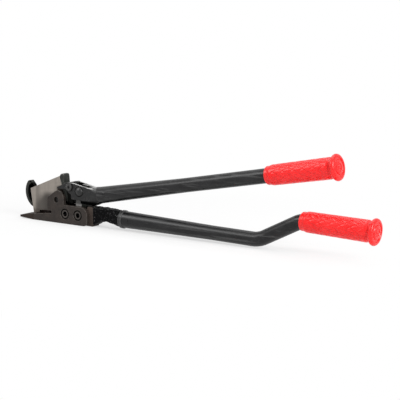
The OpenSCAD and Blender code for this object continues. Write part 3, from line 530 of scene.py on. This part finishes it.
def casting_finish(name, base_colour, edge_colour, *, lump, gloss, rough, relief, speck, wear=None):
    """Painted casting with the sand mould's grain, specks and rubbed edges, and the painted light and shade
    of its wear function, if any.
    """
    f = Finish(name, {"Specular IOR Level": gloss})
    lumps = f.noise(lump, 4.0, 0.6)
    sand = f.noise(1.0 * MM, 3.0, 0.6)
    rubbed = f.worn(5 * MM, 0.40, 0.66)
    specks = f.between(f.noise(2.2 * MM, 2.0, 0.5), 0.61, 0.70)
    base = f.tint(f.between(lumps, 0.40, 0.68), base_colour, scaled(base_colour, 1.7))
    base = f.tint(specks * speck, base, edge_colour)
    base = f.tint(rubbed * 0.40, base, edge_colour)
    # The wear function, if given, paints light and shade.
    f.feed("Base Color", wear(f, base) if wear else base)
    f.feed("Roughness", rough + sand * 0.20 - rubbed * 0.10)
    f.bumps(lumps * 0.7 + sand * 0.3, relief)
    return f.material


def bite_finish(look):
    """Hardened bars, tempered to a reddish brown, with bright tooth tips."""
    f = Finish("tempered_steel", {"Metallic": 0.3, "Specular IOR Level": 0.3})
    cloud = f.noise(7 * MM, 5.0, 0.6)
    grit = f.noise(0.8 * MM, 3.0)
    base = f.tint(f.between(cloud, 0.35, 0.65), scaled(look.bite_colour, 0.5), look.bite_colour)
    f.feed("Base Color", f.tint(f.worn(4 * MM, 0.3, 0.6) * 0.4, base, look.worn_and_highlight_colour))
    f.feed("Roughness", 0.40 + grit * 0.25)
    f.bumps(grit, 0.08 * MM)
    return f.material


def machined_finish(name, base_colour, *, metal, rough, gloss=0.3):
    """Turned or pressed metal with fine lines and dulled patches."""
    f = Finish(name, {"Metallic": metal, "Specular IOR Level": gloss})
    lines = f.noise(0.7 * MM, 3.0, 0.6, (1.0, 0.25, 1.0))
    cloud = f.noise(6 * MM, 4.0, 0.6)
    rubbed = f.worn(3 * MM, 0.30, 0.60)
    brighter = tuple(min(1.0, 0.06 + 1.5 * c) for c in base_colour)
    base = f.tint(f.between(cloud, 0.36, 0.66), scaled(base_colour, 0.62), base_colour)
    f.feed("Base Color", f.tint(rubbed * 0.55, base, brighter))
    f.feed("Roughness", rough + lines * 0.18 + cloud * 0.08)
    f.bumps(lines, 0.05 * MM)
    return f.material


def cap_finish(look):
    """Dull screw heads with rubbed rims, a painted highlight ring, and painted shade in black on the sockets
    and edges.
    """
    socket_shade_start = (0.3 * MM, 1.5 * MM)
    rim_shade_start = (-1.3 * MM, -0.7 * MM)
    highlight_ring_start = (-2.8 * MM, -2.2 * MM)
    f = Finish("screw_head_steel", {"Specular IOR Level": 0.3})
    cloud = f.noise(4 * MM, 4.0, 0.6)
    rubbed = f.worn(3 * MM, 0.25, 0.55)
    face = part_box("side_screws")[0].y
    # Painted shade in the hex socket, behind the head's face.
    deep = f.between(f.along("Y") - face, *socket_shade_start)
    off = f.off_screws()
    # Painted shade at the head's edge in its seat, with a painted highlight ring just inside it.
    edge = f.between(off, *rim_shade_start)
    ring = f.between(off, *highlight_ring_start) * (1.0 - edge)
    black = f.most(deep, edge * 0.8)
    base = f.tint(cloud, scaled(look.plate_colour, 0.6), look.plate_stain_and_shade)
    base = f.tint(rubbed * 0.6, base, look.worn_and_highlight_colour)
    base = f.tint(ring * 0.18, base, look.worn_and_highlight_colour)
    f.feed("Base Color", f.tint(black, base, SHADE_BLACK))
    f.feed("Metallic", 0.2 + black * 0.7)
    f.feed("Roughness", 0.36 + cloud * 0.2)
    f.bumps(cloud, 0.08 * MM)
    return f.material


def tube_finish(look):
    """Black satin paint with a faint orange peel, long drag marks and a few scuffs."""
    f = Finish("black_satin_paint", {"Specular IOR Level": 0.27})
    peel = f.noise(2.4 * MM, 3.0, 0.5)
    cloud = f.noise(26 * MM, 5.0, 0.6)
    drags = f.between(f.noise(4 * MM, 4.0, 0.6, (0.04, 1.0, 1.0)), 0.52, 0.66)
    scuffs = f.between(f.noise(7 * MM, 6.0, 0.7, (0.35, 1.0, 1.0)), 0.63, 0.71)
    base = f.tint(f.between(cloud, 0.35, 0.70), look.paint_colour, scaled(look.paint_colour, 2.4))
    base = f.tint(drags * 0.42, base, look.chip_colour)
    f.feed("Base Color", f.tint(scuffs * 0.40, base, look.chip_colour))
    f.feed("Roughness", 0.23 + cloud * 0.10 + scuffs * 0.18 + drags * 0.10 + peel * 0.05)
    f.bumps(peel * 0.7 - scuffs * 0.3, 0.10 * MM)
    return f.material


def grip_finish(look):
    """Glossy moulded red with painted shade in the grooves, and a slight skin texture."""
    f = Finish("glossy_red_moulding", {"Specular IOR Level": 0.35})
    skin = f.noise(1.4 * MM, 3.0, 0.5)
    cloud = f.noise(22 * MM, 4.0, 0.55)
    groove = f.node("ShaderNodeAttribute", {"attribute_name": "groove"}, output="Fac")
    base = f.tint(f.between(cloud, 0.35, 0.70), look.grip_colour, look.grip_tint)
    # Painted shade: the grooves are tinted a deeper red.
    f.feed("Base Color", f.tint(groove * 0.25, base, look.grip_shade))
    f.feed("Roughness", 0.20 + cloud * 0.10 + skin * 0.06)
    f.bumps(skin, 0.02 * MM)
    return f.material


def looks():
    """The property groups that the panel shows."""
    scene = bpy.context.scene
    return scene.strapping_head, scene.strapping_lever, scene.strapping_stage


def settle(bm, name, material, node):
    """Turns a bmesh into a piece that stands for a CAD node and moves with its body."""
    mesh = bpy.data.meshes.new(name)
    bm.to_mesh(mesh)
    bm.free()
    mesh.shade_smooth()
    mesh.set_sharp_from_angle(angle=SHADE_EDGE)
    mesh.materials.append(material)
    piece = bpy.data.objects.new(name, mesh)
    bpy.context.scene.collection.objects.link(piece)
    even = piece.modifiers.new("even_normals", "WEIGHTED_NORMAL")
    even.keep_sharp = True
    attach(piece, BODY_OF[node])
    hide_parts(node)


def merged_copy(node):
    """A copy of a CAD node's mesh with its triangles joined into faces."""
    bm = bmesh.new()
    bm.from_mesh(frame["nodes"][node].data)
    bmesh.ops.remove_doubles(bm, verts=bm.verts, dist=SAME_POINT)
    bmesh.ops.dissolve_limit(bm, angle_limit=FLAT_JOIN, verts=bm.verts, edges=bm.edges)
    return bm


def round_off(bm, edges, width, rows):
    """Rounds edges and marks the middle of each rounding as its rim."""
    rim = bm.verts.layers.float.get("rim") or bm.verts.layers.float.new("rim")
    made = bmesh.ops.bevel(
        bm, geom=edges, offset=width, offset_type="OFFSET", segments=rows, profile=0.5,
        affect="EDGES", material=-1, loop_slide=True,
    )
    fresh = set(made["faces"])
    for vert in made["verts"]:
        vert[rim] = 1.0 if all(face in fresh for face in vert.link_faces) else 0.0


def soften(bm, width, rows=2):
    """Rounds all the sharp edges."""
    sharp = [e for e in bm.edges if e.is_manifold and e.calc_face_angle() > SHARP_EDGE]
    round_off(bm, sharp, width, rows)


def dress(nodes, material, width, rows=2):
    """Dresses CAD nodes with softened edges and a finish."""
    for node in nodes:
        bm = merged_copy(node)
        soften(bm, width, rows)
        settle(bm, node + "_dressed", material, node)


class STRAPPING_OT_base(bpy.types.Operator):
    """Dress the foot and the side plates"""

    bl_idname = "strapping.base"
    bl_label = "Foot And Side Plates"

    def execute(self, context):
        head = looks()[0]
        # The foot is painted lighter towards its rear block (front 1.1, back 2.6): painted light.
        matt = oxide_finish(
            head, "matt_oxide_steel", gloss=0.10, rough=0.62, wear=0.08, front=1.1, back=2.6
        )
        dress(("foot",), matt, head.foot_edge)
        plates = oxide_finish(head, "dark_oxide_steel", gloss=0.26, rough=0.44, wear=0.40)
        dress(("near_side_plate", "far_side_plate"), plates, head.plate_edge)
        return {"FINISHED"}


def crown_edges(bm, crown):
    """Edges along both flanks of the rear lug's top."""
    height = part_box("jaw_body")[1].z - crown
    return [
        e for e in bm.edges
        if min(v.co.z for v in e.verts) > height and abs(e.verts[0].co.y - e.verts[1].co.y) < SAME_POINT
        and e.calc_face_angle() > SHARP_EDGE
    ]


class STRAPPING_OT_jaw(bpy.types.Operator):
    """Dress the jaw's forgings, its ground plate and the link"""

    bl_idname = "strapping.jaw"
    bl_label = "Jaw And Link"

    def execute(self, context):
        head = looks()[0]
        forged = forging_finish(head, "dark_forging", tail_shade)
        body = merged_copy("jaw_body")
        round_off(body, crown_edges(body, head.lug_crown), head.lug_edge, 4)
        soften(body, head.jaw_edge)
        settle(body, "jaw_body_dressed", forged, "jaw_body")
        dress(("front_guard",), forging_finish(head, "guard_forging", guard_shade), head.jaw_edge)
        dress(("jaw_plate",), ground_finish(head), head.ground_edge)
        dress(("link",), link_finish(head), head.ground_edge)
        return {"FINISHED"}


class STRAPPING_OT_bite(bpy.types.Operator):
    """Dress the toothed bars of the bed and the jaw"""

    bl_idname = "strapping.bite"
    bl_label = "Toothed Bars"

    def execute(self, context):
        head = looks()[0]
        dress(("anvil_bar", "gripper_bar"), bite_finish(head), head.tooth_edge)
        return {"FINISHED"}


def mark_lit_tops(bm, start, stop):
    """Marks the upward faces between two places along the tool for a painted highlight drawn as bare metal.
    """
    bare = bm.verts.layers.float.new("bare")
    bm.normal_update()
    for vert in bm.verts:
        vert[bare] = 1.0 if start < vert.co.x < stop and vert.normal.z > 0.5 else 0.0


class STRAPPING_OT_fork(bpy.types.Operator):
    """Dress the fork casting of the upper lever"""

    bl_idname = "strapping.fork"
    bl_label = "Fork"

    def execute(self, context):
        head = looks()[0]
        cast = casting_finish(
            "charcoal_casting", head.casting_colour, head.worn_and_highlight_colour,
            lump=5 * MM, gloss=0.28, rough=0.32, relief=0.16 * MM, speck=0.15, wear=fork_light_and_shade,
        )
        bm = merged_copy("fork")
        soften(bm, head.fork_edge, 3)
        # Marks the cheek tops for the painted highlight.
        mark_lit_tops(bm, head.bare_highlight_from, head.bare_highlight_to)
        settle(bm, "fork_dressed", cast, "fork")
        return {"FINISHED"}


class STRAPPING_OT_fasteners(bpy.types.Operator):
    """Dress the screws, nuts, pins, clips, washers and bushes"""

    bl_idname = "strapping.fasteners"
    bl_label = "Fasteners"

    def execute(self, context):
        head = looks()[0]
        black = machined_finish("black_oxide", head.black_colour, metal=0.2, rough=0.34)
        steel = machined_finish("dulled_pin_steel", head.pin_colour, metal=0.6, rough=0.36)
        bronze = machined_finish("bush_bronze", head.bronze_colour, metal=1.0, rough=0.30)
        edge = head.fastener_edge
        dress(("side_screws",), cap_finish(head), edge)
        dress(("side_nuts", "anvil_screws", "jaw_plate_screws", "guard_screws"), black, edge)
        dress(("jaw_pivot_pin", "gripper_pins"), black, edge)
        dress(("tail_pin", "pin_clips", "link_washers"), steel, edge)
        dress(("jaw_bush", "link_bushes"), bronze, edge)
        cast = casting_finish(
            "charcoal_pin", scaled(head.casting_colour, 0.5), head.worn_and_highlight_colour,
            lump=4 * MM, gloss=0.45, rough=0.20, relief=0.20 * MM, speck=0.15,
        )
        dress(("link_pin",), cast, edge)
        return {"FINISHED"}


def fine_mesh(bm, longest):
    """Cuts a mesh into triangles with no edge over the longest."""
    bmesh.ops.triangulate(bm, faces=bm.faces)
    for _ in range(FINE_PASSES):
        far = [e for e in bm.edges if e.calc_length() > longest]
        bmesh.ops.subdivide_edges(bm, edges=far, cuts=1)
        bmesh.ops.triangulate(bm, faces=bm.faces)


def roughen_casting(bm, lever):
    """Raises the lumps of the sand mould and the weld bead between the foot and the collar."""
    foot_gap = 3 * MM
    collar_gap = 2 * MM
    wander_size = 7 * MM
    ripple_size = 3 * MM
    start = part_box("foot")[1].x + foot_gap
    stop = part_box("lower_collar")[0].x - collar_gap
    bm.normal_update()
    moved = []
    for vert in bm.verts:
        x, y, z = vert.co
        if not start < x < stop:
            continue
        reach = min(1.0, (x - start) / lever.lump_fade, (stop - x) / lever.lump_fade)
        wander = lever.weld_wander * noise.noise(Vector((0.0, y, z)) / wander_size)
        bead = math.exp(-((x - lever.weld_x - wander) / lever.weld_width) ** 2)
        lump = noise.fractal(vert.co / lever.lump_size, 0.9, 2.0, 3)
        ripple = 0.65 + 0.6 * noise.noise(vert.co / ripple_size)
        moved.append((vert, reach * (lever.casting_lump * lump + lever.weld_height * bead * ripple)))
    for vert, rise in moved:
        vert.co += vert.normal * rise


class STRAPPING_OT_socket(bpy.types.Operator):
    """Model the rough casting and the collar ring at the root of the lower lever"""

    bl_idname = "strapping.socket"
    bl_label = "Lower Socket"

    def execute(self, context):
        lever = looks()[1]
        cast = casting_finish(
            "black_rough_casting", lever.socket_colour, lever.chip_colour,
            lump=4 * MM, gloss=0.035, rough=0.42, relief=0.45 * MM, speck=0.9,
        )
        bm = merged_copy("lower_socket")
        soften(bm, lever.casting_edge, 3)
        fine_mesh(bm, lever.casting_mesh)
        roughen_casting(bm, lever)
        settle(bm, "lower_socket_rough", cast, "lower_socket")
        rubbed = machined_finish(
            "rubbed_collar_steel", lever.collar_colour, metal=0.3, rough=0.30, gloss=0.5
        )
        dress(("lower_collar",), rubbed, lever.collar_edge, 4)
        return {"FINISHED"}


class STRAPPING_OT_tubes(bpy.types.Operator):
    """Dress both tubes and their cross pins"""

    bl_idname = "strapping.tubes"
    bl_label = "Tubes"

    def execute(self, context):
        lever = looks()[1]
        satin = tube_finish(lever)
        dress(("upper_tube", "lower_tube", "upper_cross_pin", "lower_cross_pin"), satin, lever.tube_edge)
        return {"FINISHED"}


def arc(x, r, radius, start, stop, steps=8):
    """Points of an outline along an arc, from one angle to another in degrees."""
    angles = [math.radians(start + (stop - start) * i / steps) for i in range(steps + 1)]
    return [(x + radius * math.cos(a), r + radius * math.sin(a)) for a in angles]


def ease(first, last, steps=6):
    """Points of an outline along an S-curve."""
    points = []
    for i in range(steps + 1):
        t = i / steps
        s = t * t * (3.0 - 2.0 * t)
        points.append((first[0] + t * (last[0] - first[0]), first[1] + s * (last[1] - first[1])))
    return points


def ring_groove(x, outer, width, depth):
    """Points of an outline round a groove in the end face, with sloping walls."""
    slope = 0.7 * depth
    return [(x, outer), (x - depth, outer - slope), (x - depth, outer - width + slope), (x, outer - width)]


def grip_outline(lever, body):
    """Half of the grip's section, from the end of its bore round to the middle of its end face."""
    end = lever.grip_length
    flange = end - lever.flange_width
    radius = lever.grip_radius
    lip = radius - lever.nose_step
    neck = radius - lever.neck_depth
    rim = lever.rim_round
    bore = [(lever.bore_depth, 0.0), (lever.bore_depth, lever.bore_radius), (0.0, lever.bore_radius)]
    nose = arc(lever.nose_round, lip - lever.nose_round, lever.nose_round, 180, 90)
    front = ease((lever.nose_length, lip), (body[0], radius - lever.body_taper))
    back = ease((body[1], radius), (flange - lever.neck_flat, neck))
    edge = [(flange, neck)] + arc(flange + rim, lever.flange_radius - rim, rim, 180, 0, 12)
    face = flange + 2.0 * rim
    ring = ring_groove(face, lever.flange_radius - lever.ring_inset, lever.ring_width, lever.ring_depth)
    button = ring_groove(end, lever.button_radius, lever.button_width, lever.button_depth)
    return bore + nose + front + back + edge + ring + button + [(end, 0.0)]


def grip_bmesh(lever):
    """A moulded grip along X from its nose, with raised diamonds between the nose and the flange."""
    body = (lever.body_start, lever.grip_length - lever.flange_width - lever.neck_length)
    outline = grip_outline(lever, body)
    bm = bmesh.new()
    groove = bm.verts.layers.float.new("groove")
    points = [bm.verts.new((x, 0.0, r)) for x, r in outline]
    edges = [bm.edges.new(pair) for pair in zip(points, points[1:])]
    patterned = [e for e in edges if all(abs(v.co.x - x) < SAME_POINT for v, x in zip(e.verts, body))]
    bmesh.ops.subdivide_edges(bm, edges=patterned, cuts=GRIP_CUTS)
    bmesh.ops.spin(
        bm, geom=bm.verts[:] + bm.edges[:], cent=(0, 0, 0), axis=(1, 0, 0), dvec=(0, 0, 0),
        angle=2 * math.pi, steps=GRIP_SIDES, use_merge=True,
    )
    bmesh.ops.remove_doubles(bm, verts=bm.verts, dist=SAME_POINT)
    bmesh.ops.recalc_face_normals(bm, faces=bm.faces)
    for vert in bm.verts:
        x, y, z = vert.co
        if not body[0] < x < body[1]:
            continue
        fade = min(1.0, (x - body[0]) / lever.groove_fade, (body[1] - x) / lever.groove_fade)
        along = x / lever.diamond_length
        around = lever.diamond_rows * math.atan2(y, z) / (2 * math.pi)
        cut = fade * max(groove_cut(turns, lever.groove_width) for turns in (along + around, along - around))
        shrink = 1.0 - cut * lever.groove_depth / math.hypot(y, z)
        vert[groove] = cut
        vert.co = (x, y * shrink, z * shrink)
    return bm


def groove_cut(turns, width):
    """How deep a point lies in a groove that passes once a turn, from 0 to 1."""
    off = abs(turns - math.floor(turns + 0.5))
    return max(0.0, 1.0 - off / width)


class STRAPPING_OT_grips(bpy.types.Operator):
    """Model both moulded grips"""

    bl_idname = "strapping.grips"
    bl_label = "Grips"

    def execute(self, context):
        lever = looks()[1]
        red = grip_finish(lever)
        nose = Matrix.Translation((lever.lower_nose_x, 0.0, lever.lower_nose_z))
        lower = nose @ Matrix.Rotation(lever.lower_droop, 4, "Y")
        collar = Matrix.Translation((lever.upper_collar_x, 0.0, lever.upper_collar_z))
        tilt = Matrix.Rotation(-lever.upper_tilt, 4, "Y")
        upper = collar @ tilt @ Matrix.Translation((lever.upper_length - lever.grip_length, 0.0, 0.0))
        for node, place in (("lower_grip", lower), ("upper_grip", upper)):
            bm = grip_bmesh(lever)
            bmesh.ops.transform(bm, matrix=place, verts=bm.verts)
            settle(bm, node + "_moulded", red, node)
        return {"FINISHED"}


def area_light(name, place, size, power):
    """A soft square light that faces the tool."""
    lamp = bpy.data.lights.new(name, "AREA")
    lamp.shape = "SQUARE"
    lamp.size = size
    lamp.energy = power
    holder = bpy.data.objects.new(name, lamp)
    bpy.context.scene.collection.objects.link(holder)
    holder.location = place
    holder.rotation_euler = (Vector(LIT_POINT) - Vector(place)).to_track_quat("-Z", "Y").to_euler()


def floor_finish(stage):
    """Pale floor that turns plain white away from the tool and keeps the tool's shadow."""
    f = Finish("pale_floor", {"Roughness": 0.9, "Specular IOR Level": 0.1})
    grain = f.noise(0.6, 3.0)
    f.feed("Base Color", f.tint(grain, stage.floor_colour, scaled(stage.floor_colour, 0.99)))
    off = f.node("ShaderNodeVectorMath", {"operation": "SUBTRACT"}, {0: f.place, 1: SHADOW_MIDDLE})
    away = f.node("ShaderNodeVectorMath", {"operation": "LENGTH"}, {0: off}, "Value")
    far = f.between(away, stage.shadow_core, stage.shadow_reach)
    white = stage.floor_white + far * (1.0 - stage.floor_white)
    glow = f.node("ShaderNodeEmission")
    lit = Wire(f, f.shader.outputs[0])
    shown = f.node("ShaderNodeMixShader", None, {0: f.white_rays() * white, 1: lit, 2: glow})
    f.plug(f.tree.nodes["Material Output"].inputs["Surface"], shown)
    return f.material


def white_room(stage):
    """A world that looks white and gives a low light from all round."""
    world = bpy.data.worlds.new("white_room")
    world.use_nodes = True
    room = Nodes(world.node_tree)
    sky = room.tree.nodes["Background"]
    room.plug(sky.inputs["Color"], (1.0, 1.0, 1.0, 1.0))
    room.plug(sky.inputs["Strength"], stage.room_light + room.white_rays() * (1.0 - stage.room_light))
    return world


def lay_floor(stage):
    """A flat floor just under the tool."""
    bm = bmesh.new()
    bmesh.ops.create_grid(bm, x_segments=1, y_segments=1, size=stage.floor_reach)
    bmesh.ops.translate(bm, verts=bm.verts, vec=FLOOR_MIDDLE)
    mesh = bpy.data.meshes.new("floor")
    bm.to_mesh(mesh)
    bm.free()
    mesh.materials.append(floor_finish(stage))
    floor = bpy.data.objects.new("floor", mesh)
    bpy.context.scene.collection.objects.link(floor)


def aim_camera(stage):
    """A camera turned by its azimuth, elevation and roll."""
    lens = bpy.data.cameras.new("camera")
    lens.sensor_width = SENSOR_WIDTH
    lens.lens = stage.lens
    camera = bpy.data.objects.new("camera", lens)
    bpy.context.scene.collection.objects.link(camera)
    a, e, r = stage.azimuth, stage.elevation, stage.roll
    back = Vector((math.sin(a) * math.cos(e), -math.cos(a) * math.cos(e), math.sin(e)))
    right = Vector((math.cos(a), math.sin(a), 0.0))
    up = back.cross(right)
    across = math.cos(r) * right + math.sin(r) * up
    upward = math.cos(r) * up - math.sin(r) * right
    turned = Matrix((across, upward, back)).transposed().to_4x4()
    camera.matrix_world = Matrix.Translation(stage.camera_place) @ turned
    bpy.context.scene.camera = camera


class STRAPPING_OT_stage(bpy.types.Operator):
    """Set up the floor, the lights and the camera"""

    bl_idname = "strapping.stage"
    bl_label = "Stage"

    def execute(self, context):
        stage = looks()[2]
        scene = bpy.context.scene
        scene.view_settings.view_transform = "Standard"
        lay_floor(stage)
        scene.world = white_room(stage)
        area_light("key_above", stage.key_place, stage.key_size, stage.key_power)
        area_light("front", stage.front_place, stage.front_size, stage.front_power)
        area_light("side", stage.side_place, stage.side_size, stage.side_power)
        aim_camera(stage)
        return {"FINISHED"}


class STRAPPING_PT_panel(bpy.types.Panel):
    """Lists the sizes, the colours and the steps that build the tool"""

    bl_idname = "STRAPPING_PT_panel"
    bl_label = "Strapping Tool"
    bl_space_type = "VIEW_3D"
    bl_region_type = "UI"
    bl_category = "Strapping Tool"

    def draw(self, context):
        for group in looks():
            box = self.layout.box()
            for name in group.__annotations__:
                box.prop(group, name)
        for step in STEPS:
            self.layout.operator(step.bl_idname)


GROUPS = {"strapping_head": HeadLook, "strapping_lever": LeverLook, "strapping_stage": StageLook}
STEPS = (
    STRAPPING_OT_base, STRAPPING_OT_jaw, STRAPPING_OT_bite, STRAPPING_OT_fork, STRAPPING_OT_fasteners,
    STRAPPING_OT_socket, STRAPPING_OT_tubes, STRAPPING_OT_grips, STRAPPING_OT_stage,
)


def register():
    """Adds the property groups, the operators and the panel."""
    for name, group in GROUPS.items():
        bpy.utils.register_class(group)
        setattr(bpy.types.Scene, name, PointerProperty(type=group))
    for step in STEPS:
        bpy.utils.register_class(step)
    bpy.utils.register_class(STRAPPING_PT_panel)


def unregister():
    """Takes away what register adds."""
    bpy.utils.unregister_class(STRAPPING_PT_panel)
    for step in reversed(STEPS):
        bpy.utils.unregister_class(step)
    for name, group in GROUPS.items():
        delattr(bpy.types.Scene, name)
        bpy.utils.unregister_class(group)


def main():
    """Builds every piece and the stage."""
    register()
    for step in STEPS:
        family, name = step.bl_idname.split(".")
        getattr(getattr(bpy.ops, family), name)()


if __name__ == "__main__":
    main()
